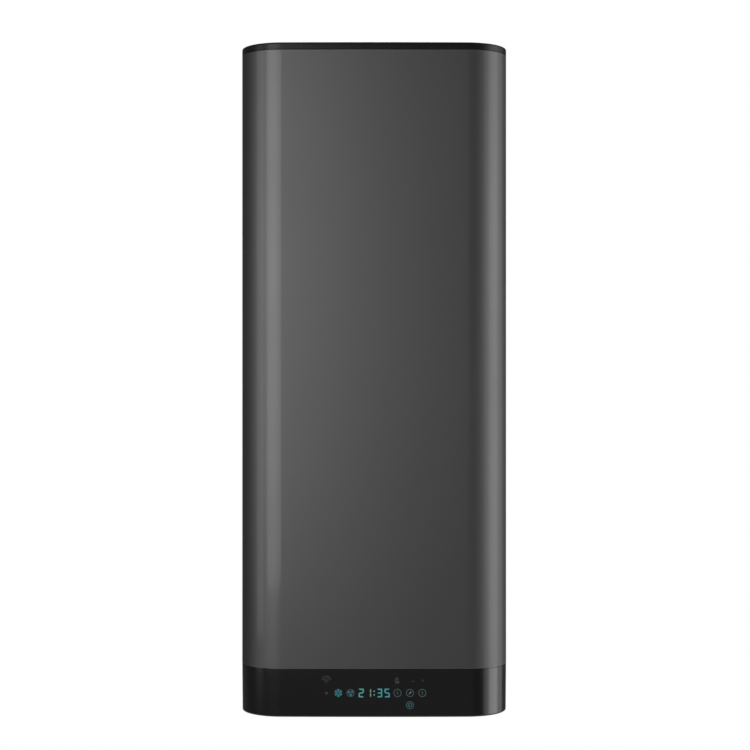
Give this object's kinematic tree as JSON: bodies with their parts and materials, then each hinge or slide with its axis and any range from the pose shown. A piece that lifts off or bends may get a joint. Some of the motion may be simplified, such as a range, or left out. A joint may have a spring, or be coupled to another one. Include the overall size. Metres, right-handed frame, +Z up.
{
  "type": "storage water heater",
  "caption": "Flat wall-hung electric storage water heater: a tall round-cornered casing with end caps, a touch display in the lower cap, tanks in foam, water nipples and wall brackets.",
  "frame": {"origin": "middle of the upper wall bracket's rear face, in the plane of the wall", "axes": "+Y into the wall, -Y out of the front, +Z up along the tanks, +X to the right as seen from the front"},
  "size_m": [0.48, 0.282, 1.22],
  "materials": {
    "graphite_paint": "satin metallic grey paint",
    "gloss_black": "gloss black",
    "satin_black": "satin black",
    "zinc_steel": "zinc plated",
    "enamel": "fired enamel on steel",
    "foam": "rigid polyurethane foam",
    "copper": "drawn copper",
    "magnesium": "as drawn",
    "rubber": "matte",
    "red_plastic": "satin red",
    "blue_plastic": "satin blue",
    "white_plastic": "satin white",
    "cream_plastic": "satin cream",
    "board_green": "solder mask",
    "clear_film": "clear amber film",
    "wire_brown": "insulated wire",
    "wire_blue": "insulated wire",
    "wire_grey": "insulated wire"
  },
  "bodies": {
    "heater": {"casing": "graphite_paint", "top_cap": "gloss_black", "bottom_cap": "gloss_black", "foam_insulation": "foam", "tank_left": "enamel", "tank_right": "enamel", "transfer_pipe": "copper", "hot_nipple": "zinc_steel", "cold_nipple": "zinc_steel", "hot_ring": "red_plastic", "cold_ring": "blue_plastic", "hot_standpipe": "copper", "cold_diffuser": "white_plastic", "flange_plate_left": "zinc_steel", "flange_plate_right": "zinc_steel", "flange_gasket_left": "rubber", "flange_gasket_right": "rubber", "flange_bolt_left_1": "zinc_steel", "flange_bolt_left_2": "zinc_steel", "flange_bolt_left_3": "zinc_steel", "flange_bolt_left_4": "zinc_steel", "flange_bolt_right_1": "zinc_steel", "flange_bolt_right_2": "zinc_steel", "flange_bolt_right_3": "zinc_steel", "flange_bolt_right_4": "zinc_steel", "heating_element_left": "copper", "heating_element_right": "copper", "anode_left": "magnesium", "anode_right": "magnesium", "sensor_sleeve_left": "copper", "sensor_sleeve_right": "copper", "sensor_lead_left": "wire_grey", "sensor_lead_right": "wire_grey", "element_wire_left_live": "wire_brown", "element_wire_left_neutral": "wire_blue", "element_wire_right_live": "wire_brown", "element_wire_right_neutral": "wire_blue", "display_lead": "wire_grey", "power_tray": "cream_plastic", "power_board": "board_green", "thermal_cutout": "white_plastic", "display_board": "board_green", "display_module": "satin_black", "icon_light_guide": "white_plastic", "key_light_guide": "white_plastic", "touch_film": "clear_film", "cable_gland": "satin_black", "gland_nut": "satin_black", "service_cover": "satin_black", "service_cover_screw": "zinc_steel", "cap_screw_left": "zinc_steel", "cap_screw_right": "zinc_steel", "upper_wall_bracket": "zinc_steel", "lower_wall_bracket": "zinc_steel", "upper_bracket_screw_left": "zinc_steel", "upper_bracket_screw_right": "zinc_steel", "lower_bracket_screw_left": "zinc_steel", "lower_bracket_screw_right": "zinc_steel"},
    "button": {"reset_button": "red_plastic"}
  },
  "joints": [
    {"name": "reset_press", "type": "slide", "parent": "heater", "child": "button", "axis": [0, 0, 1], "range_m": [0, 0.002], "stiffness_N_per_m": 400, "springref_m": -0.002}
  ]
}
